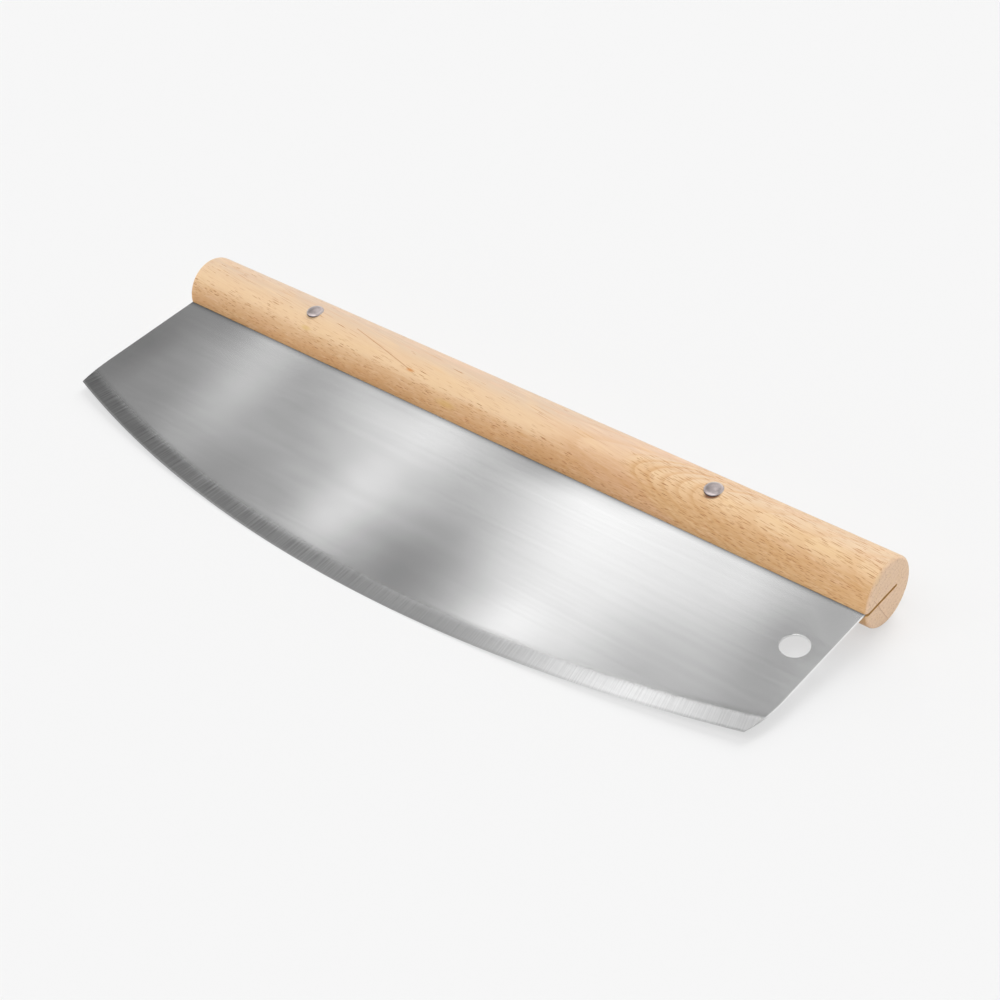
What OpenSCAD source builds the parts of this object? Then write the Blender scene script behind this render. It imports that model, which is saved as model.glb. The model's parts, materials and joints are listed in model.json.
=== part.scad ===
// Rocking pizza knife: a curved steel blade seated in the saw kerf of a round wooden handle,
// and held there by two cutlery rivets, each made of a sleeve half and a stud half.
// The knife lies as it does when it is put down: on its two lower rivet heads and on the
// middle of its cutting edge. X runs along the handle, the cutting edge points to -Y,
// the hang hole is at the +X end, and the bench is the plane Z = 0.

/* [Handle] */
// Diameter of the wooden rod
handle_d = 28; // [24:0.5:34]
// Length of the wooden rod
handle_l = 358; // [300:1:420]
// Radius of the eased rim at each end of the rod
handle_rim_r = 1.4; // [0.5:0.1:3]
// How far the saw kerf for the blade runs past the rod's axis
kerf_past_axis = 5; // [3:0.5:7]

/* [Blade] */
// How far the blade stops short of each end of the handle
blade_inset = 1; // [0:0.5:8]
// Depth of the blade from the handle's surface to the middle of the edge
blade_drop = 92.7; // [75:0.1:115]
// Thickness of the blade
blade_t = 1; // [0.8:0.1:2]
// Radius of the arc of the cutting edge
edge_arc_r = 606; // [480:1:900]
// Width of the ground bevel, from its shoulder to the edge
bevel_w = 7.5; // [4:0.5:12]
// Width of the honed strip along the edge
hone_w = 0.8; // [0.4:0.1:1.5]
// Thickness of the blade where the honed strip starts
hone_t = 0.4; // [0.2:0.05:0.6]
// Thickness left at the very edge
edge_t = 0.1; // [0.05:0.01:0.15]
// How far the left side edge is drawn in at the lower tip
left_tip_relief = 1.2; // [0.4:0.1:4]
// How far the right side edge is drawn in at the lower tip
right_tip_relief = 2.8; // [0.4:0.1:4]
// Height over which the side edges are drawn in above the lower tips
tip_relief_h = 17; // [8:0.5:30]

/* [Hang hole] */
// Diameter of the hang hole
hang_hole_d = 11; // [8:0.5:14]
// Distance from the blade's right side edge to the centre of the hang hole
hang_hole_from_side = 11.3; // [9:0.1:20]
// Distance from the handle's surface to the centre of the hang hole
hang_hole_drop = 25.6; // [12:0.1:40]

/* [Rivets] */
// Distance from the left end of the handle to the left rivet
left_rivet_from_end = 71.7; // [40:0.1:110]
// Distance from the right end of the handle to the right rivet
right_rivet_from_end = 74.3; // [40:0.1:110]
// How far the rivets sit off the handle's axis, towards the blade
rivet_offset = 1; // [0:0.25:4]
// Diameter of the rivet heads
head_d = 7.5; // [7:0.25:10]
// Height of the straight rim of a head
head_rim_h = 0.8; // [0.2:0.05:1]
// Height of the dome above the rim of a head
head_dome_h = 0.9; // [0.6:0.05:2]
// Depth of the flat seat under a head, measured where the rivet's axis leaves the wood
seat_depth = 0.65; // [0.5:0.05:1]
// Outer diameter of the sleeve half's shank
sleeve_d = 4.8; // [4.2:0.1:5.4]
// Diameter of the stud half's shank
stud_d = 3.1; // [2.6:0.1:3.4]
// Gap between the mouth of the sleeve and the opposite head
sleeve_gap = 1.5; // [0.5:0.1:3]
// Depth of the sleeve's bore
sleeve_bore_l = 17; // [14:0.5:20]
// Gap between the end of the stud and the bottom of the sleeve's bore
stud_end_gap = 2.5; // [0.5:0.5:6]

/* [Clearances] */
// Gap on each side of the blade in the kerf
kerf_clear = 0.05; // [0.03:0.01:0.15]
// Gap around the sleeve in the wood and in the blade
shank_clear = 0.1; // [0.05:0.01:0.2]
// Gap around the stud in the sleeve's bore
stud_clear = 0.04; // [0.02:0.01:0.08]
// Gap around a head in its seat
seat_clear = 0.1; // [0.05:0.01:0.25]

/* [Hidden] */
$fn = 96;
arc_fn = 240;
cut = 1;

handle_r = handle_d / 2;
head_r = head_d / 2;
kerf_w = blade_t + 2 * kerf_clear;

blade_half_l = handle_l / 2 - blade_inset;
blade_reach = handle_r + blade_drop;
arc_centre_y = edge_arc_r - blade_reach;
tip_y = arc_centre_y - sqrt(pow(edge_arc_r, 2) - pow(blade_half_l, 2));

hang_hole_x = blade_half_l - hang_hole_from_side;
hang_hole_y = -handle_r - hang_hole_drop;

left_rivet_x = left_rivet_from_end - handle_l / 2;
right_rivet_x = handle_l / 2 - right_rivet_from_end;
rivet_y = -rivet_offset;
rivet_bore_d = sleeve_d + 2 * shank_clear;
seat_z = sqrt(pow(handle_r, 2) - pow(rivet_offset, 2)) - seat_depth;
dome_r = (pow(head_r, 2) + pow(head_dome_h, 2)) / (2 * head_dome_h);
dome_centre_z = seat_z + head_rim_h + head_dome_h - dome_r;
sleeve_l = 2 * seat_z - sleeve_gap;
stud_l = sleeve_gap + sleeve_bore_l - stud_end_gap;

// The bench touches both lower domes and the middle of the edge, so it leans from the blade
// by the angle of the line through the edge that is tangent to a dome.
edge_to_dome_y = blade_reach + rivet_y;
edge_to_dome_z = dome_centre_z - edge_t / 2;
edge_to_dome = sqrt(pow(edge_to_dome_y, 2) + pow(edge_to_dome_z, 2));
rest_tilt = asin(dome_r / edge_to_dome) + atan2(edge_to_dome_z, edge_to_dome_y);
axis_h = blade_reach * sin(rest_tilt) + edge_t / 2 * cos(rest_tilt);
front_y = blade_reach * cos(rest_tilt) + edge_t / 2 * sin(rest_tilt);
axis_y = (front_y - handle_r) / 2;

// Puts a piece drawn about the handle's axis, with the blade flat, into its resting place
module at_rest() {
  translate([0, axis_y, axis_h])
    rotate([rest_tilt, 0, 0])
      children();
}

// A round rod along X with both rims eased by a quarter round
module eased_rod(d, l, rim_r) {
  rotate([0, 90, 0])
    rotate_extrude()
      union() {
        translate([0, -l / 2])
          square([d / 2 - rim_r, l]);
        translate([0, -l / 2 + rim_r])
          square([d / 2, l - 2 * rim_r]);
        for (side = [-1, 1])
          translate([d / 2 - rim_r, side * (l / 2 - rim_r)])
            intersection() {
              circle(rim_r);
              translate([0, side > 0 ? 0 : -rim_r])
                square(rim_r);
            }
      }
}

// Through bore and the two flat head seats of one rivet
module rivet_cuts() {
  cylinder(d = rivet_bore_d, h = handle_d + 2 * cut, center = true);
  for (side = [0, 180])
    rotate([side, 0, 0])
      translate([0, 0, seat_z])
        cylinder(r = head_r + seat_clear, h = handle_r);
}

module handle() {
  color("burlywood")
    at_rest()
      difference() {
        eased_rod(handle_d, handle_l, handle_rim_r);
        translate([-handle_l / 2 - cut, -handle_r - cut, -kerf_w / 2])
          cube([handle_l + 2 * cut, handle_r + cut + kerf_past_axis, kerf_w]);
        for (rivet_x = [left_rivet_x, right_rivet_x])
          translate([rivet_x, rivet_y, 0])
            rivet_cuts();
      }
}

// What the tip relief takes off the +X side edge: the part outside an arc that leaves the
// straight side edge on a tangent and is in by the relief at the lower tip
module tip_relief_cut(relief) {
  relief_r = (pow(tip_relief_h, 2) + pow(relief, 2)) / (2 * relief);
  difference() {
    translate([blade_half_l - 2 * relief, tip_y - cut])
      square([2 * relief + cut, tip_relief_h + cut]);
    translate([blade_half_l - relief_r, tip_y + tip_relief_h])
      circle(relief_r, $fn = arc_fn);
  }
}

// Side view of the blade, from its top in the kerf down past the edge
module blade_outline() {
  difference() {
    translate([-blade_half_l, -blade_reach - cut])
      square([2 * blade_half_l, blade_reach + cut + kerf_past_axis]);
    tip_relief_cut(right_tip_relief);
    mirror([1, 0])
      tip_relief_cut(left_tip_relief);
  }
}

// A disc about the centre of the edge arc, ground thin at its rim on both sides
module ground_disc() {
  shoulder_r = edge_arc_r - bevel_w;
  hone_r = edge_arc_r - hone_w;
  rotate_extrude($fn = arc_fn)
    polygon([
      [0, -blade_t / 2],
      [shoulder_r, -blade_t / 2],
      [hone_r, -hone_t / 2],
      [edge_arc_r, -edge_t / 2],
      [edge_arc_r, edge_t / 2],
      [hone_r, hone_t / 2],
      [shoulder_r, blade_t / 2],
      [0, blade_t / 2]
    ]);
}

module blade() {
  color("silver")
    at_rest()
      difference() {
        intersection() {
          linear_extrude(blade_t + 2 * cut, center = true)
            blade_outline();
          translate([0, arc_centre_y, 0])
            ground_disc();
        }
        translate([hang_hole_x, hang_hole_y, 0])
          cylinder(d = hang_hole_d, h = blade_t + 2 * cut, center = true);
        for (rivet_x = [left_rivet_x, right_rivet_x])
          translate([rivet_x, rivet_y, 0])
            cylinder(d = rivet_bore_d, h = blade_t + 2 * cut, center = true);
      }
}

// A domed head that stands on its seat, drawn on the +Z side of the handle
module rivet_head() {
  translate([0, 0, seat_z])
    cylinder(r = head_r, h = head_rim_h);
  intersection() {
    translate([0, 0, dome_centre_z])
      sphere(dome_r);
    translate([0, 0, seat_z + head_rim_h])
      cylinder(r = head_r, h = head_dome_h + cut);
  }
}

// The half with the hollow shank, its head on the upper side
module rivet_sleeve() {
  mouth_z = seat_z - sleeve_l;
  difference() {
    union() {
      rivet_head();
      translate([0, 0, mouth_z])
        cylinder(d = sleeve_d, h = sleeve_l);
    }
    translate([0, 0, mouth_z - cut])
      cylinder(d = stud_d + 2 * stud_clear, h = sleeve_bore_l + cut);
  }
}

// The half with the solid shank, its head on the lower side
module rivet_stud() {
  rotate([180, 0, 0]) {
    rivet_head();
    translate([0, 0, seat_z - stud_l])
      cylinder(d = stud_d, h = stud_l);
  }
}

module left_rivet_sleeve() {
  color("darkgray")
    at_rest()
      translate([left_rivet_x, rivet_y, 0])
        rivet_sleeve();
}

module left_rivet_stud() {
  color("darkgray")
    at_rest()
      translate([left_rivet_x, rivet_y, 0])
        rivet_stud();
}

module right_rivet_sleeve() {
  color("darkgray")
    at_rest()
      translate([right_rivet_x, rivet_y, 0])
        rivet_sleeve();
}

module right_rivet_stud() {
  color("darkgray")
    at_rest()
      translate([right_rivet_x, rivet_y, 0])
        rivet_stud();
}

handle();
blade();
left_rivet_sleeve();
left_rivet_stud();
right_rivet_sleeve();
right_rivet_stud();
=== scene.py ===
# Rocking pizza knife: the finish of its wood, steel and rivets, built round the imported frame.
import json
import math

import bpy
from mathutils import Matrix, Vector


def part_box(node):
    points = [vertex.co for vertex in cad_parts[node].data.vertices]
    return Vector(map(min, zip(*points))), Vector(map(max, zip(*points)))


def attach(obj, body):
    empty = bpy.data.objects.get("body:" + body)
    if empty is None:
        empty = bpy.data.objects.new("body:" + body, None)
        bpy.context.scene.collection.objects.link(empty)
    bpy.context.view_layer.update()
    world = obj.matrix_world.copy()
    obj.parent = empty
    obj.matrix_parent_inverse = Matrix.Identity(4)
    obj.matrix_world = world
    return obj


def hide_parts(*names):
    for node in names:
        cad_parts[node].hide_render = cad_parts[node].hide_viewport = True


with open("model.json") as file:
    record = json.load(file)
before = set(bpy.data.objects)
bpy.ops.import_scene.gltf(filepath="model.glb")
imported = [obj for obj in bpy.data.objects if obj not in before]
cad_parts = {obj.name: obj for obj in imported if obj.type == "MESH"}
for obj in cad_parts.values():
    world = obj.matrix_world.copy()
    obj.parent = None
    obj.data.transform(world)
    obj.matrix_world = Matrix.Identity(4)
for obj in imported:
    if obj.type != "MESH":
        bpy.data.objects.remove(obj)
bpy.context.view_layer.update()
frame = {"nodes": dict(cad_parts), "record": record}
cadNodes = frame["nodes"]
mm = 0.001
print("frame: loaded", len(cadNodes), "pieces")

# The knife lies on its rivet heads and on the middle of its edge, so the blade leans by restTilt.
# Knife space is millimetres about the handle's axis: X along the handle, -Y to the edge, +Z up.
handleLow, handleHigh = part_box("handle")
knifePlace = Vector((0, (handleLow.y + handleHigh.y) / 2, (handleLow.z + handleHigh.z) / 2))
holeAxis = Vector(frame["record"]["mounts"][0]["axis"])
restTilt = math.atan2(-holeAxis.y, holeAxis.z)
handleRadius = (handleHigh.y - handleLow.y) / 2 / mm
handleHalf = (handleHigh.x - handleLow.x) / 2 / mm
white = (1.0, 1.0, 1.0, 1.0)


# Short ways to write node trees
def addNode(tree, kind, **settings):
    node = tree.nodes.new(kind)
    for name, value in settings.items():
        setattr(node, name, value)
    return node


class Field:
    # A node's output that can stand in a plain sum
    def __init__(self, tree, socket):
        self.tree = tree
        self.socket = socket

    def __add__(self, other):
        return calc(self.tree, "ADD", self, other)

    def __radd__(self, other):
        return calc(self.tree, "ADD", other, self)

    def __sub__(self, other):
        return calc(self.tree, "SUBTRACT", self, other)

    def __rsub__(self, other):
        return calc(self.tree, "SUBTRACT", other, self)

    def __mul__(self, other):
        return calc(self.tree, "MULTIPLY", self, other)

    def __rmul__(self, other):
        return calc(self.tree, "MULTIPLY", other, self)

    def __truediv__(self, other):
        return calc(self.tree, "DIVIDE", self, other)

    def __pow__(self, other):
        return calc(self.tree, "POWER", self, other)


def feed(tree, socket, value):
    # Links a field or an output, or sets a plain value
    if isinstance(value, Field):
        value = value.socket
    if isinstance(value, bpy.types.NodeSocket):
        tree.links.new(value, socket)
    else:
        socket.default_value = value


def calc(tree, operation, *values):
    node = addNode(tree, "ShaderNodeMath", operation=operation)
    for socket, value in zip(node.inputs, values):
        feed(tree, socket, value)
    return Field(tree, node.outputs[0])


def root(value):
    return calc(value.tree, "SQRT", value)


def size(value):
    return calc(value.tree, "ABSOLUTE", value)


def least(a, b):
    return calc(a.tree, "MINIMUM", a, b)


def most(a, b):
    return calc(a.tree, "MAXIMUM", a, b)


def isOver(a, b):
    return calc(a.tree, "GREATER_THAN", a, b)


def sign(value):
    return calc(value.tree, "SIGN", value)


def ramp(value, low, high, first=0.0, last=1.0, kind="SMOOTHSTEP"):
    # Goes from first to last while value goes from low to high
    node = addNode(value.tree, "ShaderNodeMapRange", interpolation_type=kind)
    for socket, item in zip(node.inputs, (value, low, high, first, last)):
        feed(value.tree, socket, item)
    return Field(value.tree, node.outputs[0])


def split(tree, vector):
    node = addNode(tree, "ShaderNodeSeparateXYZ")
    feed(tree, node.inputs[0], vector)
    return [Field(tree, output) for output in node.outputs]


def join(tree, *values):
    node = addNode(tree, "ShaderNodeCombineXYZ")
    for socket, value in zip(node.inputs, values):
        feed(tree, socket, value)
    return Field(tree, node.outputs[0])


def blend(tree, amount, base, other, mode="MIX"):
    # The Mix node takes its colours at 6 and 7 and gives them out at 2
    node = addNode(tree, "ShaderNodeMix", data_type="RGBA", blend_type=mode)
    feed(tree, node.inputs[0], amount)
    feed(tree, node.inputs[6], base)
    feed(tree, node.inputs[7], other)
    return Field(tree, node.outputs[2])


def grey(tree, value):
    return join(tree, value, value, value)


# Camera, at the photograph's viewing angle
photoView = {
    "place": (0.4356506, -0.4246997, 0.4317201),
    "turn": (54.538386, 2.080462, 41.711015),  # degrees
    "lens": 68.104,
    "sensor": 36,
    "clip": (0.02, 50),
}


def addCamera(view):
    data = bpy.data.cameras.new("photoCamera")
    data.lens = view["lens"]
    data.sensor_width = view["sensor"]
    data.clip_start, data.clip_end = view["clip"]
    camera = bpy.data.objects.new("photoCamera", data)
    camera.location = view["place"]
    camera.rotation_euler = [math.radians(angle) for angle in view["turn"]]
    bpy.context.scene.collection.objects.link(camera)
    bpy.context.scene.camera = camera


addCamera(photoView)
print("camera: in place")

# Studio: a pale bench that runs into a pale horizon, with soft light cards over it.
# A card's place is in degrees: "along" from the handle's +X end, and "round" about the
# handle, from 0 at the back horizon to 180 at the front one. "shine" is a card's level in
# reflections, where that differs, and "lowShine" dims its low part there, so that the steel
# isn't burnt out from any side.
studio = {
    "pale": 0.93,
    "paper": 0.785,  # the bench's own colour, which the light brings up to the same paleness
    "horizon": (17, 23),  # degrees of height over which the pale horizon ends
    "dark": 0.02,
    "benchSize": 12.0,
    "lowPart": (44, 56),  # degrees round over which a card's low part ends
    "shadowFill": 0.6,  # how far the bench keeps its own paleness in the shadow
    "mapSize": 1024,  # of the map by which the light on the knife is picked
    "cards": {
        "back": {
            "along": (88.5, 110), "alongSoft": 12.5, "round": (10, 70), "roundSoft": 10,
            "level": 6.45, "shine": 1.15,
        },
        "key": {
            "along": (115.2, 123.4), "alongSoft": 4.4, "round": (23.7, 61.5), "roundSoft": 16,
            "level": 2.7, "lowShine": 0.35,
        },
        "middle": {
            "along": (125.9, 129.2), "alongSoft": 4.7, "round": (22, 56.4), "roundSoft": 8,
            "level": 4.1, "lowShine": 0.35,
        },
        "narrow": {
            "along": (131.3, 133.5), "alongSoft": 2.7, "round": (21, 54.8), "roundSoft": 8,
            "level": 2.8, "lowShine": 0.35,
        },
        "left": {
            "along": (119.4, 168), "alongSoft": 4, "round": (54.5, 180), "roundSoft": 10,
            "level": 0.4,
        },
        "right": {
            "along": (0, 82), "alongSoft": 10, "round": (20, 99), "roundSoft": 16,
            "level": 0.25, "shine": 0.42,
        },
        "front": {
            "along": (57, 126), "alongSoft": 12, "round": (94, 143), "roundSoft": 16,
            "level": 1.8, "shine": 1.15,
        },
        "rivetGleam": {
            "along": (57, 126), "alongSoft": 12, "round": (124, 143), "roundSoft": 16,
            "level": 0, "shine": 1.9,
        },
        "side": {
            "along": (0, 44), "alongSoft": 44, "round": (25, 120), "roundSoft": 40,
            "level": 0, "shine": 0.7,
        },
        "bevelGleam": {
            "along": (97, 110), "alongSoft": 12, "round": (66, 79), "roundSoft": 6,
            "level": 0, "shine": 3.4,
        },
    },
}


def softBand(value, span, soft):
    low, high = span
    rise = ramp(value, low - soft / 2, low + soft / 2)
    return rise * ramp(value, high - soft / 2, high + soft / 2, 1.0, 0.0)


def buildStudioLight(plan):
    world = bpy.data.worlds.new("studioLight")
    bpy.context.scene.world = world
    world.use_nodes = True
    tree = world.node_tree
    tree.nodes.clear()
    x, y, z = split(tree, addNode(tree, "ShaderNodeTexCoord").outputs["Generated"])
    degrees = math.degrees(1)
    along = calc(tree, "ARCCOSINE", x) * degrees
    turned = calc(tree, "ARCTAN2", z, y) * degrees
    height = calc(tree, "ARCSINE", z) * degrees
    mirrored = Field(tree, addNode(tree, "ShaderNodeLightPath").outputs["Is Glossy Ray"])
    total = plan["dark"]
    for card in plan["cards"].values():
        shape = softBand(along, card["along"], card["alongSoft"])
        shape = shape * softBand(turned, card["round"], card["roundSoft"])
        lowPart = ramp(turned, *plan["lowPart"], card.get("lowShine", 1.0), 1.0)
        shine = card.get("shine", card["level"]) * lowPart
        level = mirrored * (shine - card["level"]) + card["level"]
        total = shape * level + total
    above = ramp(height, *plan["horizon"])
    level = total * above + (1 - above) * plan["pale"]
    background = addNode(tree, "ShaderNodeBackground")
    background.inputs["Color"].default_value = white
    feed(tree, background.inputs["Strength"], level)
    output = addNode(tree, "ShaderNodeOutputWorld")
    feed(tree, output.inputs["Surface"], background.outputs[0])
    world.cycles.sampling_method = "MANUAL"
    world.cycles.sample_map_resolution = plan["mapSize"]


def buildBench(plan):
    half = plan["benchSize"] / 2
    corners = [(-half, -half, 0), (half, -half, 0), (half, half, 0), (-half, half, 0)]
    mesh = bpy.data.meshes.new("bench")
    mesh.from_pydata(corners, [], [(0, 1, 2, 3)])
    bench = bpy.data.objects.new("bench", mesh)
    bpy.context.scene.collection.objects.link(bench)
    material = bpy.data.materials.new("benchPaper")
    material.use_nodes = True
    tree = material.node_tree
    tree.nodes.clear()
    paper = addNode(tree, "ShaderNodeBsdfDiffuse")
    paper.inputs["Color"].default_value = (plan["paper"],) * 3 + (1.0,)
    plain = addNode(tree, "ShaderNodeEmission")
    plain.inputs["Color"].default_value = (plan["pale"],) * 3 + (1.0,)

    # Seen by the camera, in reflections or through something, it fills part of its own shadow
    rays = addNode(tree, "ShaderNodeLightPath")
    kinds = ("Is Camera Ray", "Is Glossy Ray", "Is Transmission Ray")
    camera, glossy, through = [Field(tree, rays.outputs[kind]) for kind in kinds]
    both = addNode(tree, "ShaderNodeMixShader")
    feed(tree, both.inputs[0], most(most(camera, glossy), through) * plan["shadowFill"])
    feed(tree, both.inputs[1], paper.outputs[0])
    feed(tree, both.inputs[2], plain.outputs[0])
    output = addNode(tree, "ShaderNodeOutputMaterial")
    feed(tree, output.inputs["Surface"], both.outputs[0])
    mesh.materials.append(material)


buildStudioLight(studio)
buildBench(studio)
print("studio:", len(studio["cards"]), "soft cards and the bench")


# Ways to build a piece with Geometry Nodes
def newGeometryTree(name, sizes):
    tree = bpy.data.node_groups.new(name, "GeometryNodeTree")
    tree.interface.new_socket("Geometry", in_out="OUTPUT", socket_type="NodeSocketGeometry")
    tree.interface.new_socket("Finish", in_out="INPUT", socket_type="NodeSocketMaterial")
    for label in sizes:
        tree.interface.new_socket(label, in_out="INPUT", socket_type="NodeSocketFloat")
    entry = addNode(tree, "NodeGroupInput")
    return tree, entry, {label: Field(tree, entry.outputs[label]) for label in sizes}


weldGap = 0.0005  # in mm
roundSides = 96  # of every round cut and shank


def endGeometryTree(tree, entry, geometry, sharpAngle):
    # Welds what the cuts left double, marks the sharp edges, puts the piece in the frame and
    # gives it its finish
    weld = addNode(tree, "GeometryNodeMergeByDistance")
    feed(tree, weld.inputs["Geometry"], geometry)
    weld.inputs["Distance"].default_value = weldGap
    angle = Field(tree, addNode(tree, "GeometryNodeInputMeshEdgeAngle").outputs["Unsigned Angle"])
    smooth = addNode(tree, "GeometryNodeSetShadeSmooth", domain="EDGE")
    feed(tree, smooth.inputs["Geometry"], weld.outputs[0])
    feed(tree, smooth.inputs["Shade Smooth"], 1 - isOver(angle, math.radians(sharpAngle)))
    place = addNode(tree, "GeometryNodeTransform")
    feed(tree, place.inputs["Geometry"], smooth.outputs[0])
    place.inputs["Translation"].default_value = knifePlace
    place.inputs["Rotation"].default_value = (restTilt, 0, 0)
    place.inputs["Scale"].default_value = (mm, mm, mm)
    realize = addNode(tree, "GeometryNodeRealizeInstances")
    feed(tree, realize.inputs["Geometry"], place.outputs[0])
    finish = addNode(tree, "GeometryNodeSetMaterial")
    feed(tree, finish.inputs["Geometry"], realize.outputs[0])
    feed(tree, finish.inputs["Material"], entry.outputs["Finish"])
    output = addNode(tree, "NodeGroupOutput")
    feed(tree, output.inputs["Geometry"], finish.outputs[0])


def makePiece(name, tree, sizes, finish):
    # Runs the tree on an empty mesh and keeps the result as a plain mesh
    scene = bpy.context.scene
    holder = bpy.data.objects.new(name + "_maker", bpy.data.meshes.new(name + "_maker"))
    scene.collection.objects.link(holder)
    modifier = holder.modifiers.new("maker", "NODES")
    modifier.node_group = tree
    for item in tree.interface.items_tree:
        if item.in_out == "INPUT":
            value = finish if item.name == "Finish" else float(sizes[item.name])
            modifier[item.identifier] = value
    evaluated = holder.evaluated_get(bpy.context.evaluated_depsgraph_get())
    mesh = bpy.data.meshes.new_from_object(evaluated)
    mesh.name = name
    bpy.data.objects.remove(holder)
    piece = bpy.data.objects.new(name, mesh)
    scene.collection.objects.link(piece)
    print(name + ":", len(mesh.polygons), "faces")
    return piece


def moved(tree, geometry, position):
    node = addNode(tree, "GeometryNodeSetPosition")
    feed(tree, node.inputs["Geometry"], geometry)
    feed(tree, node.inputs["Position"], position)
    return node.outputs[0]


def combined(tree, operation, first, *others):
    node = addNode(tree, "GeometryNodeMeshBoolean", operation=operation, solver="EXACT")
    if operation == "DIFFERENCE":
        feed(tree, node.inputs["Mesh 1"], first)
    else:
        others = (first, *others)
    for other in others:
        feed(tree, node.inputs["Mesh 2"], other)
    return node.outputs["Mesh"]


def unitCylinder(tree, around, sides=1, rings=1):
    node = addNode(tree, "GeometryNodeMeshCylinder", fill_type="TRIANGLE_FAN")
    node.inputs["Vertices"].default_value = around
    node.inputs["Side Segments"].default_value = sides
    node.inputs["Fill Segments"].default_value = rings
    node.inputs["Radius"].default_value = 1.0
    node.inputs["Depth"].default_value = 1.0
    return node.outputs["Mesh"]


def cutterRod(tree, x, y, radius, low, high):
    px, py, pz = split(tree, addNode(tree, "GeometryNodeInputPosition").outputs[0])
    position = join(tree, px * radius + x, py * radius + y, pz * (high - low) + (low + high) / 2)
    return moved(tree, unitCylinder(tree, roundSides), position)


# Materials read knife space from Object coordinates
def newMaterial(name):
    material = bpy.data.materials.new(name)
    material.use_nodes = True
    return material, material.node_tree, material.node_tree.nodes["Principled BSDF"]


def knifeCoordinates(tree):
    place = addNode(tree, "ShaderNodeMapping", vector_type="TEXTURE")
    feed(tree, place.inputs["Vector"], addNode(tree, "ShaderNodeTexCoord").outputs["Object"])
    place.inputs["Location"].default_value = knifePlace
    place.inputs["Rotation"].default_value = (restTilt, 0, 0)
    place.inputs["Scale"].default_value = (mm, mm, mm)
    return place.outputs[0]


streakInputs = {
    "Place": "Vector",
    "Length": "Float",
    "Width": "Float",
    "Detail": "Float",
    "Seed": "Float",
}


def buildStreakGroup():
    # Soft noise drawn out along X, around 0 and mostly within -1 to 1
    group = bpy.data.node_groups.new("drawnOutStreaks", "ShaderNodeTree")
    for label, kind in streakInputs.items():
        group.interface.new_socket(label, in_out="INPUT", socket_type="NodeSocket" + kind)
    group.interface.new_socket("Value", in_out="OUTPUT", socket_type="NodeSocketFloat")
    entry = addNode(group, "NodeGroupInput")
    place, length, width, detail, seed = [
        Field(group, entry.outputs[label]) for label in streakInputs
    ]
    x, y, z = split(group, place)
    noise = addNode(group, "ShaderNodeTexNoise")
    drawnOut = join(group, x / length + seed, y / width + seed, z / width)
    feed(group, noise.inputs["Vector"], drawnOut)
    noise.inputs["Scale"].default_value = 1.0
    feed(group, noise.inputs["Detail"], detail)
    output = addNode(group, "NodeGroupOutput")
    feed(group, output.inputs["Value"], (Field(group, noise.outputs[0]) - 0.5) * 4)
    return group


streakGroup = buildStreakGroup()


def streaks(tree, place, length, width, detail, seed):
    node = addNode(tree, "ShaderNodeGroup", node_tree=streakGroup)
    for label, value in zip(streakInputs, (place, length, width, detail, seed)):
        feed(tree, node.inputs[label], value)
    return Field(tree, node.outputs["Value"])


def addBump(tree, height, distance):
    node = addNode(tree, "ShaderNodeBump")
    node.inputs["Distance"].default_value = distance * mm
    feed(tree, node.inputs["Height"], height)
    return node.outputs[0]


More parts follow.
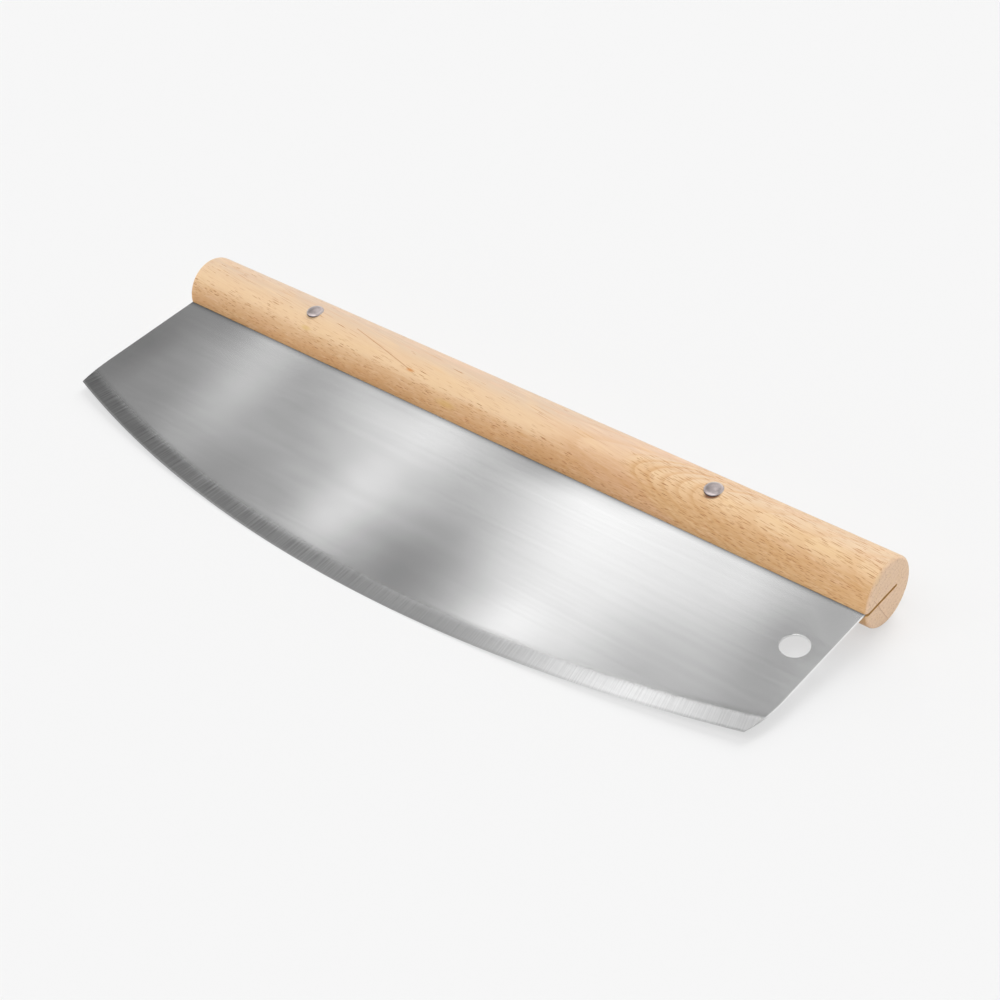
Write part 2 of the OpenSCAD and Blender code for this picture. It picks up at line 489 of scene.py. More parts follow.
# Handle: a round rod of pale hardwood with short brown pores. Places on its surface are
# given by x in mm and by the angle round it, with 0 towards the blade and 90 on top. A set of
# streaks is given by its length, width, detail and seed, and a share by the values of its mask
# where it starts and ends, and by its level at the end.
woodLook = {
    # The first three colours are painted light and shade by the angle round the rod: lighter on
    # the top, darker at the back, painted shade towards the blade
    "top": (0.895, 0.63, 0.38, 1),
    "back": (0.65, 0.485, 0.35, 1),
    "paintedBladeShade": (0.67, 0.365, 0.158, 1),
    "golden": (0.87, 0.60, 0.31, 1),
    "pink": (0.83, 0.525, 0.34, 1),
    "late": (0.66, 0.34, 0.13, 1),
    "pale": (0.93, 0.70, 0.46, 1),
    "pore": (0.46, 0.155, 0.03, 1),
    "darkPore": (0.20, 0.065, 0.02, 1),
    "endGrain": (0.92, 0.66, 0.45, 1),
    "endPore": (0.50, 0.25, 0.11, 1),
    "scorched": (0.66, 0.36, 0.10, 1),
    # Streaks of the grain
    "wander": (60.0, 14.0, 1.0, 3.0),
    "drift": (70.0, 9.0, 2.0, 11.0),
    "patch": (20.0, 4.5, 2.0, 23.0),
    "fibre": (30.0, 0.5, 3.0, 5.0),
    "thread": (12.0, 0.3, 2.0, 17.0),
    "grainSlope": 0.1,  # the grain runs a little towards the blade on its way to +X
    # The pointed figure
    "figureX": 66,  # where its tip is
    "figureAngle": 69,
    "figurePoint": 0.19,  # how fast it draws back to both sides of its tip
    "figureEdge": (-4.0, 6.0),
    "nearFigure": (10.0, 60.0),
    "nested": {  # the lines inside the figure
        "step": 6.5, "wander": 2.5, "late": (0.4, 0.9),
        "start": (-2.0, 2.0), "fade": (20.0, 60.0), "level": 0.42,
    },
    # The tree's rings under it
    "ringRadius": 74,
    "ringStep": 2.6,
    "ringLate": (0.45, 0.93),
    "ringWander": 0.7,
    "pithBend": (45, 60),  # how far before the tip it starts, and over what length
    "pithSlope": 0.14,
    # Where each colour lies. Around is y over the rod's radius.
    # Ranges of the painted light and shade round the rod
    "paintedTopToBackAround": (-0.6, 0.35),
    "paintedShadeAround": (-0.6, -1.0),
    "paintedShadeDrift": 0.06,
    "paintedShadeFigure": 0.22,
    "goldenFigure": 0.35,
    "goldenDrift": (0.2, 1.0, 0.25),
    "goldenPatch": (0.1, 1.1, 0.28),
    "pinkFigure": (-60.0, -12.0),
    "pinkFigureLevel": 0.35,
    "pinkDrift": (-0.3, -1.1, 0.25),
    "pinkPatch": (-0.2, -1.1, 0.22),
    "paleFibre": (0.0, -1.2, 0.4),
    "lateRings": (0.12, 0.10),  # the plain level, and what is added near the figure
    "lateFibre": (0.0, 1.2),
    "lateFibreLevels": (0.27, 0.55),  # the plain level, and what is added at the blade side
    "lateThread": (0.1, 1.1),
    "lateThreadLevels": (0.22, 0.34),
    # Pores: "figure" and "plain" are how many there are
    "pores": {
        "long": {
            "cell": (13.0, 0.56), "radius": 0.28, "level": 1.0,
            "figure": 1.0, "plain": 0.08, "seed": 0.0,
        },
        "short": {
            "cell": (6.4, 0.46), "radius": 0.30, "level": 0.9,
            "figure": 1.0, "plain": 0.09, "seed": 31.7,
        },
        "hair": {
            "cell": (22.0, 0.42), "radius": 0.30, "level": 0.5,
            "figure": 0.8, "plain": 0.55, "seed": 63.1,
        },
    },
    "poreDrift": 0.10,
    "poreRings": 0.15,
    "poreLevel": 0.95,
    "poreCore": (0.72, 0.95, 0.22),
    "leftPores": {"x": (-115.0, -145.0), "wander": (-0.5, 0.6), "level": 0.7},
    "bladeSidePores": {"around": (-0.5, -0.85, 0.7), "wander": 0.14},
    # Marks on the rod
    "marks": {
        "knot": {
            "x": -45, "angle": 58, "size": (3.2, 1.0),
            "colour": (0.70, 0.27, 0.05, 1), "level": 0.9,
        },
        "leftSpot": {
            "x": -106, "angle": 50, "size": (4, 1.6),
            "colour": (0.76, 0.50, 0.16, 1), "level": 0.6,
        },
        "middleSpot": {
            "x": -22, "angle": 30, "size": (8, 2.4),
            "colour": (0.74, 0.46, 0.15, 1), "level": 0.6,
        },
    },
    "markEdge": (0.1, 1.0),
    "knotLine": {
        "places": [(-82, 88), (-70, 78.3), (-58, 68.7), (-46, 59)], "width": 0.3, "level": 0.5,
    },
    # painted shadow under the rivet heads, at the blade side of their seats
    "paintedSeatShadow": {
        "levels": {"Left": 0.35, "Right": 0.95}, "ring": (4.1, 5.0),
        "towards": (0.4, 0.92), "facing": (0.5, 0.92),
    },
    # End faces, with distances from the end in mm
    "endEdge": (1.2, 0.2),
    "endFleck": (1.0, 0.7, 2.0, 41.0),
    "endCloud": (1.0, 5.0, 2.0, 47.0),
    "endGolden": (0.0, 1.0, 0.4),
    "endDots": (0.2, 1.0),
    "endDotLevel": 0.55,
    "endShade": (0.6, -0.8, 0.12, 0.0),
    "endRings": 0.10,
    "crack": {  # y and z on the +X end
        "places": [(-9.5, 4.1), (-7.3, 0.2), (-4.4, -5.4), (-0.7, -12.0)],
        "width": 0.16, "depth": (1.6, 1.0), "level": 0.4,
    },
    "kerf": {"wall": (0.56, 0.8), "top": (5.4, 5.1), "level": 0.9},
    # Roughness, and the heights of the bump
    "roughness": 0.5,
    "poreRoughness": 0.15,
    "fibreRoughness": 0.04,
    "relief": {"fibre": 0.05, "pores": 0.35, "crack": 2.0, "dots": 0.3, "depth": 0.05},
}


def onRod(x, angle):
    turn = math.radians(angle)
    return Vector((x, -handleRadius * math.cos(turn), handleRadius * math.sin(turn)))


def lineMask(tree, point, start, end, width):
    # 1 in the core of the straight line from start to end, 0 outside its width
    core = 0.4
    start, end = Vector(start), Vector(end)
    reach = end - start
    away = addNode(tree, "ShaderNodeVectorMath", operation="SUBTRACT")
    feed(tree, away.inputs[0], point)
    away.inputs[1].default_value = start
    along = addNode(tree, "ShaderNodeVectorMath", operation="DOT_PRODUCT")
    feed(tree, along.inputs[0], away.outputs[0])
    along.inputs[1].default_value = reach / reach.length_squared
    clamped = least(most(Field(tree, along.outputs["Value"]), 0.0), 1.0)
    foot = addNode(tree, "ShaderNodeVectorMath", operation="SCALE")
    foot.inputs[0].default_value = reach
    feed(tree, foot.inputs["Scale"], clamped)
    gap = addNode(tree, "ShaderNodeVectorMath", operation="DISTANCE")
    feed(tree, gap.inputs[0], away.outputs[0])
    feed(tree, gap.inputs[1], foot.outputs[0])
    return ramp(Field(tree, gap.outputs["Value"]), width * core, width, 1.0, 0.0)


def share(value, plan):
    start, end, level = plan
    return ramp(value, start, end) * level


def raised(amount, levels):
    plain, added = levels
    return amount * added + plain


def lateWood(place, rise, fall):
    # Darkens slowly across a ring, and turns pale fast where the next one starts
    return ramp(place, rise, fall) * ramp(place, fall, 1.0, 1.0, 0.0)


poreInputs = ("Length", "Width", "Radius", "Density", "Seed")


def buildPoreGroup():
    # One dash in each drawn-out cell, where the cell's own number is below Density
    core, faintest = 0.6, 0.4
    group = bpy.data.node_groups.new("poreDashes", "ShaderNodeTree")
    group.interface.new_socket("Place", in_out="INPUT", socket_type="NodeSocketVector")
    for label in poreInputs:
        group.interface.new_socket(label, in_out="INPUT", socket_type="NodeSocketFloat")
    group.interface.new_socket("Mask", in_out="OUTPUT", socket_type="NodeSocketFloat")
    entry = addNode(group, "NodeGroupInput")
    length, width, radius, density, seed = [
        Field(group, entry.outputs[label]) for label in poreInputs
    ]
    x, y, z = split(group, entry.outputs["Place"])
    cells = addNode(group, "ShaderNodeTexVoronoi", voronoi_dimensions="3D", feature="F1")
    drawnOut = join(group, x / length + seed, y / width, z / width + seed)
    feed(group, cells.inputs["Vector"], drawnOut)
    cells.inputs["Scale"].default_value = 1.0
    pick, depth, other = split(group, cells.outputs["Color"])
    shape = ramp(Field(group, cells.outputs["Distance"]), radius * core, radius, 1.0, 0.0)
    level = depth * (1 - faintest) + faintest
    output = addNode(group, "NodeGroupOutput")
    feed(group, output.inputs["Mask"], shape * isOver(density, pick) * level)
    return group


poreGroup = buildPoreGroup()


def poreLayer(tree, place, layer, density):
    group = addNode(tree, "ShaderNodeGroup", node_tree=poreGroup)
    feed(tree, group.inputs["Place"], place)
    values = (*layer["cell"], layer["radius"], density, layer["seed"])
    for label, value in zip(poreInputs, values):
        feed(tree, group.inputs[label], value)
    return Field(tree, group.outputs["Mask"]) * layer["level"]


def woodMaterial(look, rivets):
    material, tree, shader = newMaterial("handleWood")
    point = knifeCoordinates(tree)
    x, y, z = split(tree, point)

    # The tree's rings: round a pith that bends away from the rod to the right of the figure
    turn = math.radians(look["figureAngle"])
    outward = y * -math.cos(turn) + z * math.sin(turn)
    sideways = y * math.sin(turn) + z * math.cos(turn)
    bendStart, bendLength = look["pithBend"]
    climb = most(x - look["figureX"] + bendStart, 0.0)
    climb = climb * climb / (climb + bendLength) * look["pithSlope"]
    height = outward + climb + (look["ringRadius"] - handleRadius)
    wander = streaks(tree, point, *look["wander"])
    ringRadius = root(height * height + sideways * sideways) + wander * look["ringWander"]
    late = lateWood(calc(tree, "FRACT", ringRadius / look["ringStep"]), *look["ringLate"])

    # The rod's colour by the angle round it is painted light and shade: lighter painted on the
    # top, darker painted at the back where the light is strongest, and painted shade, darker and
    # warmer, towards the blade.
    # Over that lie broad drifts, a golden figure with a pink patch to its left, the rings and
    # the fine fibres.
    grainPoint = join(tree, x, x * look["grainSlope"] + y, z)
    drift, patch, fibre, thread = [
        streaks(tree, grainPoint, *look[name]) for name in ("drift", "patch", "fibre", "thread")
    ]
    around = y / handleRadius
    colour = blend(tree, ramp(around, *look["paintedTopToBackAround"]), look["top"], look["back"])
    nearFigure = ramp(x, *look["nearFigure"])
    # Painted shade towards the blade, darker and warmer
    paintedBladeShade = drift * look["paintedShadeDrift"] - nearFigure * look["paintedShadeFigure"] + around
    paintedBladeShade = ramp(paintedBladeShade, *look["paintedShadeAround"], kind="LINEAR")
    colour = blend(tree, paintedBladeShade, colour, look["paintedBladeShade"])
    inFigure = x - sideways * sideways * look["figurePoint"] - look["figureX"]
    figure = ramp(inFigure, *look["figureEdge"])
    golden = figure * look["goldenFigure"] + share(drift, look["goldenDrift"])
    colour = blend(tree, golden, colour, look["golden"])
    pink = ramp(inFigure, *look["pinkFigure"]) * (1 - figure) * look["pinkFigureLevel"]
    pink = most(pink, share(drift, look["pinkDrift"]))
    colour = blend(tree, pink, colour, look["pink"])
    colour = blend(tree, share(patch, look["goldenPatch"]), colour, look["golden"])
    colour = blend(tree, share(patch, look["pinkPatch"]), colour, look["pink"])
    colour = blend(tree, share(fibre, look["paleFibre"]), colour, look["pale"])
    grain = late * raised(nearFigure, look["lateRings"])
    grain = grain + ramp(fibre, *look["lateFibre"]) * raised(paintedBladeShade, look["lateFibreLevels"])
    grain = grain + ramp(thread, *look["lateThread"]) * raised(paintedBladeShade, look["lateThreadLevels"])
    inner = look["nested"]
    nested = calc(tree, "FRACT", (inFigure + wander * inner["wander"]) / inner["step"])
    nested = lateWood(nested, *inner["late"]) * ramp(inFigure, *inner["start"])
    grain = grain + nested * ramp(inFigure, *inner["fade"], inner["level"], 0.0)
    colour = blend(tree, grain, colour, look["late"])

    # Pores: most in the figure, towards the blade and at the left end
    left, nearBlade = look["leftPores"], look["bladeSidePores"]
    atLeft = ramp(x, *left["x"]) * ramp(wander, *left["wander"]) * left["level"]
    porous = most(figure, atLeft)
    porous = most(porous, share(around + wander * nearBlade["wander"], nearBlade["around"]))
    pores = 0.0
    for layer in look["pores"].values():
        density = porous * (layer["figure"] - layer["plain"]) + drift * look["poreDrift"]
        density = density - late * look["poreRings"] + layer["plain"]
        pores = most(poreLayer(tree, grainPoint, layer, density), pores)
    colour = blend(tree, pores * look["poreLevel"], colour, look["pore"])
    colour = blend(tree, share(pores, look["poreCore"]), colour, look["darkPore"])

    # The knot, the yellow spots and the fine line that runs to the knot
    for mark in look["marks"].values():
        spot = onRod(mark["x"], mark["angle"])
        length, width = mark["size"]
        reachX, reachY = (x - spot.x) / length, (y - spot.y) / width
        reachZ = (z - spot.z) / width
        reach = root(reachX ** 2.0 + reachY ** 2.0 + reachZ ** 2.0)
        spread = ramp(reach, *look["markEdge"], mark["level"], 0.0)
        colour = blend(tree, spread, colour, mark["colour"])
    line = look["knotLine"]
    for start, end in zip(line["places"], line["places"][1:]):
        dark = lineMask(tree, point, onRod(*start), onRod(*end), line["width"])
        colour = blend(tree, dark * line["level"], colour, look["pore"])

    # Painted shadow under the rivet heads, on the wood at the blade side of the seats
    paintedSeatShadow = look["paintedSeatShadow"]
    toRight, toBlade = paintedSeatShadow["towards"]
    for side, level in paintedSeatShadow["levels"].items():
        seatX, seatY = x - rivets[side + " rivet x"], y - rivets["Rivet y"]
        fromAxis = root(seatX ** 2.0 + seatY ** 2.0)
        facing = (seatX * toRight - seatY * toBlade) / fromAxis
        seat = ramp(fromAxis, *paintedSeatShadow["ring"], level, 0.0) * ramp(facing, *paintedSeatShadow["facing"])
        colour = blend(tree, seat, colour, look["darkPore"])

    # End faces: speckled with the mouths of the pores, with a check crack at the +X end
    endFace = ramp(size(x), *[handleHalf - depth for depth in look["endEdge"]])
    onEnd = join(tree, 0.0, y, z)
    fleck = streaks(tree, onEnd, *look["endFleck"])
    dots = ramp(fleck, *look["endDots"])
    cloud = streaks(tree, onEnd, *look["endCloud"])
    endColour = blend(tree, share(cloud, look["endGolden"]), look["endGrain"], look["golden"])
    mouths = dots * look["endDotLevel"] + ramp(fleck, *look["endShade"]) + late * look["endRings"]
    endColour = blend(tree, mouths, endColour, look["endPore"])
    colour = blend(tree, endFace, colour, endColour)
    check = look["crack"]
    places = [(handleHalf, *place) for place in check["places"]]
    crack = 0.0
    for start, end in zip(places, places[1:]):
        part = lineMask(tree, join(tree, handleHalf, y, z), start, end, check["width"])
        crack = most(part, crack)
    crack = crack * ramp(x, *[handleHalf - depth for depth in check["depth"]])
    colour = blend(tree, crack * check["level"], colour, look["pore"])

    # The saw has scorched the walls of the kerf
    saw = look["kerf"]
    kerf = ramp(size(z), *saw["wall"], 1.0, 0.0) * ramp(y, *saw["top"])
    colour = blend(tree, kerf * saw["level"], colour, look["scorched"])
    feed(tree, shader.inputs["Base Color"], colour)
    roughness = pores * look["poreRoughness"] + fibre * look["fibreRoughness"] + look["roughness"]
    feed(tree, shader.inputs["Roughness"], roughness)
    bump = look["relief"]
    relief = fibre * bump["fibre"] * (1 - endFace) - pores * bump["pores"]
    relief = relief - crack * bump["crack"] - dots * endFace * bump["dots"]
    feed(tree, shader.inputs["Normal"], addBump(tree, relief, bump["depth"]))
    return material


# Blade: one sheet of steel. Its straight rows turn into rows that run at a steady distance
# from the edge, where the sheet is ground thin, with a honed strip along the edge.
bladeSizes = {
    "Half length": 178,
    "Top": 5,
    "Reach": 106.7,
    "Edge radius": 606,
    "Thickness": 1,
    "Bevel width": 7.5,
    "Shoulder softness": 0.3,
    "Hone width": 0.8,
    "Hone thickness": 0.4,
    "Edge thickness": 0.1,
    "Left relief": 1.2,
    "Right relief": 2.8,
    "Relief height": 17,
    "Rim": 0.12,
    "Hole x": 166.7,
    "Hole y": -39.6,
    "Hole radius": 5.5,
    "Hole rim": 0.12,
    "Left rivet x": -107.3,
    "Right rivet x": 104.7,
    "Rivet y": -1,
    "Rivet hole radius": 2.5,
}
bladeGrid = {
    "columns": 181,
    "faceRows": 26,
    "groundRows": 30,
    "groundWidth": 12,
    "layers": 4,  # the two faces, and one more inside each for the eased rim
    "holeSteps": 5,
    "boreReach": 2.0,
    "sharpAngle": 6,
}
steelLook = {
    "colour": (0.675, 0.675, 0.675, 1),
    "roughness": 0.19,
    "bevelRoughness": 0.345,
    "bevelAnisotropy": 0.89,
    "bevelPaintedLight": (0.58, 1.28),  # painted shade on the left and in the middle, painted highlight at the right
    "bevelPaintedLightX": (45.0, 135.0),
    "bevelTipShade": (0.80, 0.62),  # painted shade at both ends of the bevel
    "tipStarts": (-0.4, 0.75),  # in shares of the half length
    "honeRoughness": 0.45,
    "honeCalm": 0.5,  # how much less brushed the honed strip is
    "honeSoft": 0.1,
    "shoulderSoft": 5,
    "paintedJointShade": 0.75,  # how dark the painted shade is where the steel meets the wood
    "paintedJointShadeWidth": 4.0,
    "paintedJointShadePower": 3.0,
    # Streaks: length, width, detail and seed
    "grind": (16.0, 0.5, 0.0, 9.0),
    "lineEnds": (4.0, 0.1, 1.0, 21.0),
    "smudge": (34.0, 12.0, 3.0, 2.0),
    "brush": (80.0, 1.6, 1.0, 7.0),
    "grindX": (-80.0, 90.0, 1.0, 0.25),  # the grinding lines get weaker to the right
    "grindShade": 0.28,
    "grindDepth": 0.006,
    "lineEndReach": 1.5,
    "smudgeShade": 0.04,
    "smudgeRoughness": 0.012,
    "brushShade": 0.02,
    "paintedReflections": [  # painted reflections and shade on the face: x, y, half length, half height, lighter or darker
        (21, -94, 41, 54, -0.42),
        (-22, -82, 24, 54, 0.24),
        (-114, -44, 25, 88, 0.20),
        (-174, -52, 22, 58, -0.22),
        (74, -92, 24, 30, 0.24),
        (-80, -90, 28, 30, -0.20),
        (128, -76, 38, 42, -0.22),
        (-46, -15, 30, 13, -0.16),
        (-6, -22, 36, 30, 0.22),
        (34, -15, 30, 13, -0.34),
        (66, -13, 32, 10, -0.24),
        (147, -18, 30, 32, 0.26),
        (172, -14, 32, 24, 0.50),
        (184, -42, 28, 60, 0.55),
        (-150, -14, 28, 26, -0.28),
    ],
}


def buildBladeTree(grid):
    tree, entry, s = newGeometryTree("groundBlade", bladeSizes)
    rows = grid["faceRows"] + grid["groundRows"]
    cube = addNode(tree, "GeometryNodeMeshCube")
    cube.inputs["Size"].default_value = (1, 1, 1)
    cube.inputs["Vertices X"].default_value = grid["columns"]
    cube.inputs["Vertices Y"].default_value = rows + 1
    cube.inputs["Vertices Z"].default_value = grid["layers"]
    px, py, pz = split(tree, addNode(tree, "GeometryNodeInputPosition").outputs[0])

    # Each row's distance from the edge, and its line across the blade
    row = (0.5 - py) * rows
    onFace = least(row / grid["faceRows"], 1.0)
    ground = most(row - grid["faceRows"], 0.0) / grid["groundRows"]
    fromEdge = (1 - ground) * grid["groundWidth"]
    arcY = s["Edge radius"] - s["Reach"]
    rowRadius = s["Edge radius"] - fromEdge

    def lineY(x):
        arc = arcY - root(rowRadius * rowRadius - x * x)
        return s["Top"] + (arc - s["Top"]) * onFace

    # The side edges are drawn in towards the lower tips along an arc. Each pass finds the
    # row's end a little better.
    passes = 3
    tipY = arcY - root(s["Edge radius"] ** 2.0 - s["Half length"] ** 2.0)
    toRight = isOver(px, 0.0)
    relief = s["Left relief"] + (s["Right relief"] - s["Left relief"]) * toRight
    reliefRadius = (s["Relief height"] ** 2.0 + relief ** 2.0) / (relief * 2)
    endX = sign(px) * s["Half length"]
    for step in range(passes):
        below = most(tipY + s["Relief height"] - lineY(endX), 0.0)
        onRelief = root(reliefRadius ** 2.0 - below ** 2.0)
        endX = sign(px) * (s["Half length"] - reliefRadius + onRelief)

    # The rim of the sheet is eased on both faces
    rimStart, outerLayer = 0.499, 0.4  # on the cube, which reaches 0.5 to each side
    outer = isOver(size(pz), outerLayer)
    atSide = isOver(size(px), rimStart) * outer
    atTop = isOver(py, rimStart) * outer
    x = size(px) * 2 * endX - sign(px) * s["Rim"] * atSide
    slope = (s["Thickness"] - s["Hone thickness"]) / (s["Bevel width"] - s["Hone width"])
    bevel = s["Hone thickness"] + (fromEdge - s["Hone width"]) * slope
    honeRise = fromEdge * (s["Hone thickness"] - s["Edge thickness"])
    hone = s["Edge thickness"] + honeRise / s["Hone width"]
    soft = calc(tree, "SMOOTH_MIN", s["Thickness"], bevel, s["Shoulder softness"])
    thick = least(soft, hone)
    inner = least(s["Rim"], thick / 4) * (1 - outer)
    z = sign(pz) * (thick / 2 - inner)
    sheet = moved(tree, cube.outputs["Mesh"], join(tree, x, lineY(x) - s["Rim"] * atTop, z))

    # Hang hole with an eased rim, and the two rivet holes. The cutter is straight in the
    # middle and widens towards both faces.
    straight, widening = 0.1, 3
    step = most(size(pz) - straight, 0.0) * widening
    wide = s["Hole radius"] + step
    tall = s["Thickness"] / 2 - s["Hole rim"] + step
    position = join(tree, px * wide + s["Hole x"], py * wide + s["Hole y"], sign(pz) * tall)
    hangHole = moved(tree, unitCylinder(tree, roundSides, grid["holeSteps"]), position)
    reach = grid["boreReach"]
    bores = [
        cutterRod(
            tree, s[side + " rivet x"], s["Rivet y"], s["Rivet hole radius"], -reach, reach
        )
        for side in ("Left", "Right")
    ]
    cutSheet = combined(tree, "DIFFERENCE", sheet, hangHole, *bores)
    endGeometryTree(tree, entry, cutSheet, grid["sharpAngle"])
    return tree


def steelMaterial(look, sizes):
    material, tree, shader = newMaterial("bladeSteel")
    point = knifeCoordinates(tree)
    x, y, z = split(tree, point)
    arcY = sizes["Edge radius"] - sizes["Reach"]
    radius = root(x * x + (y - arcY) ** 2.0)
    fromEdge = sizes["Edge radius"] - radius

    def nearEdge(width, soft):
        return ramp(fromEdge, width - soft, width + soft, 1.0, 0.0)

    bevel = nearEdge(sizes["Bevel width"], look["shoulderSoft"] / 2)
    honed = nearEdge(sizes["Hone width"], look["honeSoft"])

    # The face is brushed along the blade, and the bevel is ground across its edge. The
    # grinding lines end at uneven places on the soft shoulder.
    away = arcY - y
    along = calc(tree, "ARCTAN2", x, away) * sizes["Edge radius"]
    onArc = join(tree, fromEdge, along, 0.0)
    grind = streaks(tree, onArc, *look["grind"]) * ramp(x, *look["grindX"])
    lineEnds = streaks(tree, onArc, *look["lineEnds"])
    shoulder = lineEnds * bevel * (1 - bevel) * look["lineEndReach"]
    onBevel = isOver(shoulder + bevel, 0.5)
    tangentX = onBevel * away / radius
    tangentY = onBevel * x / radius + (1 - onBevel)
    lean = (math.cos(restTilt), math.sin(restTilt))
    tangent = join(tree, tangentX, tangentY * lean[0], tangentY * lean[1])
    feed(tree, shader.inputs["Tangent"], tangent)
    brushed = 1 - onBevel * (1 - look["bevelAnisotropy"]) - honed * look["honeCalm"]
    feed(tree, shader.inputs["Anisotropic"], brushed)

    # Smudges, brush lines and grinding lines
    smudge = streaks(tree, point, *look["smudge"])
    brush = streaks(tree, point, *look["brush"])
    shade = smudge * look["smudgeShade"] + brush * look["brushShade"]
    shade = shade + grind * bevel * look["grindShade"] + 1.0

    # Painted reflection and shade on the bevel along the edge
    half = sizes["Half length"]
    leftTip, rightTip = look["bevelTipShade"]
    leftStart, rightStart = [start * half for start in look["tipStarts"]]
    paintedBevelLight = ramp(x, *look["bevelPaintedLightX"], *look["bevelPaintedLight"])
    paintedBevelLight = paintedBevelLight * ramp(x, -half, leftStart, leftTip, 1.0)
    paintedBevelLight = paintedBevelLight * ramp(x, rightStart, half, 1.0, rightTip)
    shade = shade * (1 - bevel * (1 - paintedBevelLight))

    # Painted reflections on the face, and painted shade where the wood meets the steel
    for cloudX, cloudY, halfLength, halfHeight, level in look["paintedReflections"]:
        reach = root(((x - cloudX) / halfLength) ** 2.0 + ((y - cloudY) / halfHeight) ** 2.0)
        shade = shade * (1 + ramp(reach, 0.0, 1.0, level, 0.0) * (1 - bevel))
    fromWood = 0.0 - y - handleRadius
    jointShadeMask = ramp(fromWood, 0.0, look["paintedJointShadeWidth"], 1.0, 0.0, kind="LINEAR")
    shade = shade * (1 - jointShadeMask ** look["paintedJointShadePower"] * look["paintedJointShade"])
    colour = blend(tree, 1.0, look["colour"], grey(tree, shade), "MULTIPLY")
    feed(tree, shader.inputs["Base Color"], colour)
    shader.inputs["Metallic"].default_value = 1.0
    roughness = onBevel * (look["bevelRoughness"] - look["roughness"])
    roughness = roughness + smudge * look["smudgeRoughness"] + look["roughness"]
    roughness = roughness + honed * (look["honeRoughness"] - look["bevelRoughness"])
    feed(tree, shader.inputs["Roughness"], roughness)
    feed(tree, shader.inputs["Normal"], addBump(tree, grind * bevel, look["grindDepth"]))
    return material


# Rivets: a domed head with a rounded rim on a shank, which is bored in the sleeve halves
rivetSizes = {
    "Head radius": 3.75,
    "Rim height": 0.8,
    "Dome height": 0.9,
    "Rim round": 0.65,
    "Seat": 13.314,
    "Rivet x": 0,
    "Rivet y": -1,
}
sleeveSizes = {
    "Side": 1,
    "Shank radius": 2.4,
    "Shank length": 25.128,
    "Bore radius": 1.59,
    "Bore length": 17,
}
studSizes = {
    "Side": -1,
    "Shank radius": 1.55,
    "Shank length": 16,
    "Bore radius": 0,
    "Bore length": 0,
}
rivetGrid = {
    "around": 64,
    "rings": 20,
    "turnAt": 0.7,  # the share of the rings on the dome; the others turn over the rim
    "overlap": 0.2,  # how far the shank runs up into the head
    "boreCut": 1,
    "sharpAngle": 35,
}
rivetLook = {
    "colour": (0.475, 0.418, 0.412, 1),
    # A painted highlight on the rim, and painted shade at the foot of the head
    "rim": 1.35,
    "rimInset": (1.3, 0.5),
    "roughness": 0.40,
    "rimRoughness": 0.34,
    "paintedFootShade": 0.9,
    "paintedFootShadeHeight": (0.7, 0.3),  # above the seat
    # Streaks: length, width, detail and seed
    "smudge": (1.3, 1.3, 3.0, 4.0),
    "fine": (3.0, 0.15, 2.0, 8.0),
    "smudgeShade": 0.16,
    "smudgeRoughness": 0.05,
    "smudgeRelief": 0.5,
    "fineShade": 0.06,
    "fineRelief": 0.06,
    "reliefDepth": 0.04,
}


def buildRivetTree(bored, grid):
    name = "boredRivet" if bored else "solidRivet"
    tree, entry, s = newGeometryTree(name, {**rivetSizes, **studSizes})
    px, py, pz = split(tree, addNode(tree, "GeometryNodeInputPosition").outputs[0])
    headRadius, roundness, seat = s["Head radius"], s["Rim round"], s["Seat"]
    domeRadius = (headRadius ** 2.0 + s["Dome height"] ** 2.0) / (s["Dome height"] * 2)
    domeZ = seat + s["Rim height"] + s["Dome height"] - domeRadius

    # The rings of the disc's top climb the dome and then turn over the rounded rim
    turnAt = grid["turnAt"]
    ringX = root(px * px + py * py)
    roundX = headRadius - roundness
    roundZ = domeZ + root((domeRadius - roundness) ** 2.0 - roundX ** 2.0)
    meet = calc(tree, "ARCSINE", roundX / (domeRadius - roundness))
    domeX = ringX / turnAt * domeRadius * calc(tree, "SINE", meet)
    angle = meet + (ringX - turnAt) / (1 - turnAt) * (math.pi / 2 - meet)
    overRim = isOver(ringX, turnAt)
    topX = domeX + (roundX + roundness * calc(tree, "SINE", angle) - domeX) * overRim
    domeTop = domeZ + root(most(domeRadius ** 2.0 - domeX ** 2.0, 0.0))
    topZ = domeTop + (roundZ + roundness * calc(tree, "COSINE", angle) - domeTop) * overRim
    onTop = isOver(pz, 0.0)
    newX = ringX * headRadius + (topX - ringX * headRadius) * onTop
    newZ = seat + (topZ - seat) * onTop
    grow = newX / most(ringX, 0.0001)  # the middle of the disc stays where it is
    disc = unitCylinder(tree, grid["around"], 1, grid["rings"])
    head = moved(tree, disc, join(tree, px * grow, py * grow, newZ))

    shankLow = seat - s["Shank length"]
    shankHigh = seat + grid["overlap"]
    shank = cutterRod(tree, 0.0, 0.0, s["Shank radius"], shankLow, shankHigh)
    body = combined(tree, "UNION", head, shank)
    if bored:
        boreLow, boreHigh = shankLow - grid["boreCut"], shankLow + s["Bore length"]
        bore = cutterRod(tree, 0.0, 0.0, s["Bore radius"], boreLow, boreHigh)
        body = combined(tree, "DIFFERENCE", body, bore)

    # The stud half is turned over, about X, so its faces stay outwards
    place = join(tree, px + s["Rivet x"], py * s["Side"] + s["Rivet y"], pz * s["Side"])
    endGeometryTree(tree, entry, moved(tree, body, place), grid["sharpAngle"])
    return tree


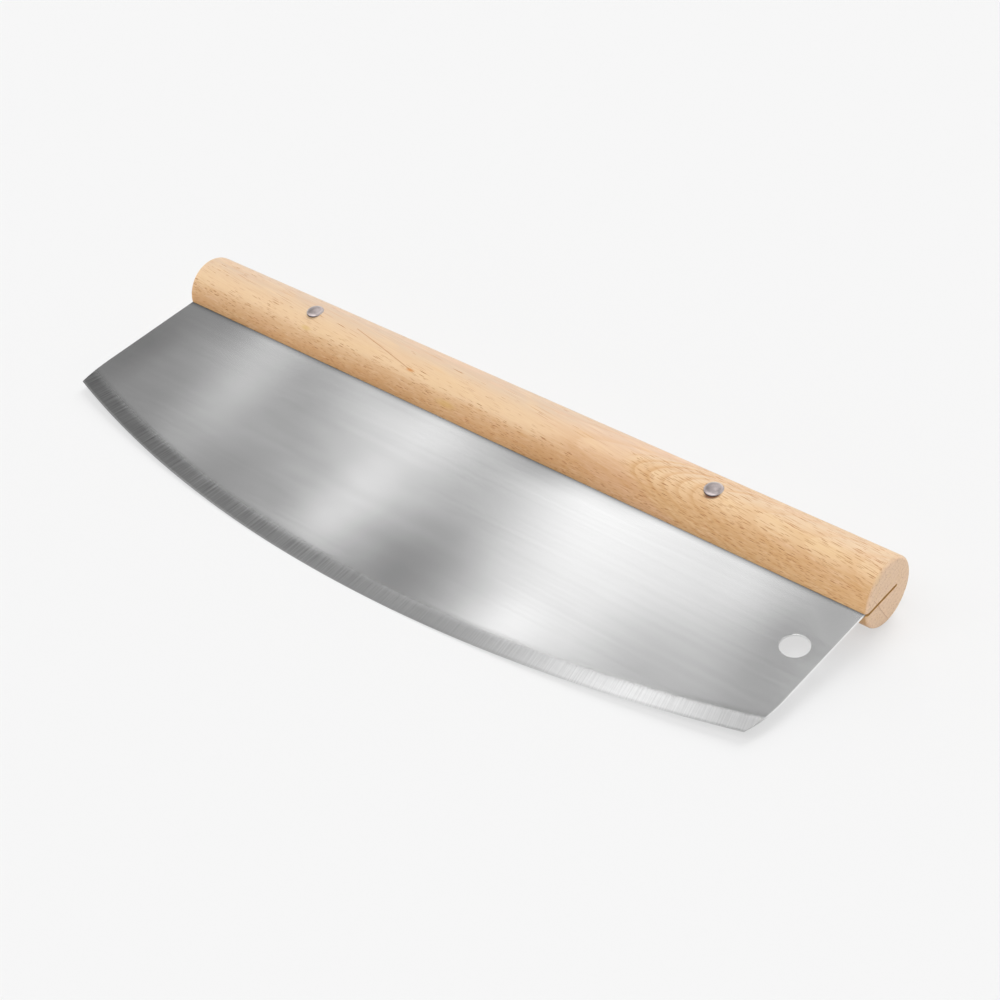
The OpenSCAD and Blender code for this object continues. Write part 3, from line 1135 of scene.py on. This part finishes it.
def rivetMaterial(look, sizes, rivets):
    material, tree, shader = newMaterial("rivetMetal")
    point = knifeCoordinates(tree)
    smudge = streaks(tree, point, *look["smudge"])
    fine = streaks(tree, point, *look["fine"])
    shade = smudge * look["smudgeShade"] + fine * look["fineShade"] + 1.0
    colour = blend(tree, 1.0, look["colour"], grey(tree, shade), "MULTIPLY")

    # Painted highlight on the rim, and painted shade at the foot of the head where it sits in the
    # wood
    x, y, z = split(tree, point)
    leftX, rightX = rivets["Left rivet x"], rivets["Right rivet x"]
    axisX = isOver(x, 0.0) * (rightX - leftX) + leftX
    fromAxis = root((x - axisX) ** 2.0 + (y - sizes["Rivet y"]) ** 2.0)
    rim = ramp(fromAxis, *[sizes["Head radius"] - inset for inset in look["rimInset"]])
    low = ramp(size(z), *[sizes["Seat"] + height for height in look["paintedFootShadeHeight"]])
    paintedLightAndShade = (rim * (look["rim"] - 1) + 1) * (1 - low * look["paintedFootShade"])
    colour = blend(tree, 1.0, colour, grey(tree, paintedLightAndShade), "MULTIPLY")
    feed(tree, shader.inputs["Base Color"], colour)
    shader.inputs["Metallic"].default_value = 1.0
    roughness = smudge * look["smudgeRoughness"]
    roughness = roughness + rim * (look["rimRoughness"] - look["roughness"])
    feed(tree, shader.inputs["Roughness"], roughness + look["roughness"])
    relief = smudge * look["smudgeRelief"] + fine * look["fineRelief"]
    feed(tree, shader.inputs["Normal"], addBump(tree, relief, look["reliefDepth"]))
    return material


handleMesh = cadNodes["handle"].data
handleMesh.materials.clear()
handleMesh.materials.append(woodMaterial(woodLook, bladeSizes))
cadNodes["handle"].visible_glossy = False  # the brushed steel shows no image of the rod beside it
print("handle: wood grain")

steel = steelMaterial(steelLook, bladeSizes)
blade = makePiece("blade_ground", buildBladeTree(bladeGrid), bladeSizes, steel)
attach(blade, "root")
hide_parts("blade")

rivetMetal = rivetMaterial(rivetLook, rivetSizes, bladeSizes)
rivetHalves = {
    "sleeve": (buildRivetTree(True, rivetGrid), sleeveSizes),
    "stud": (buildRivetTree(False, rivetGrid), studSizes),
}
for sideName in ("left", "right"):
    rivetX = bladeSizes[sideName.capitalize() + " rivet x"]
    for half, (rivetTree, halfSizes) in rivetHalves.items():
        nodeName = sideName + "_rivet_" + half
        sizes = {**rivetSizes, **halfSizes, "Rivet x": rivetX}
        rivet = makePiece(nodeName + "_turned", rivetTree, sizes, rivetMetal)
        rivet.visible_glossy = False
        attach(rivet, "root")
        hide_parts(nodeName)
print("rivets: two sleeves and two studs")

bpy.context.scene.view_settings.view_transform = "Standard"
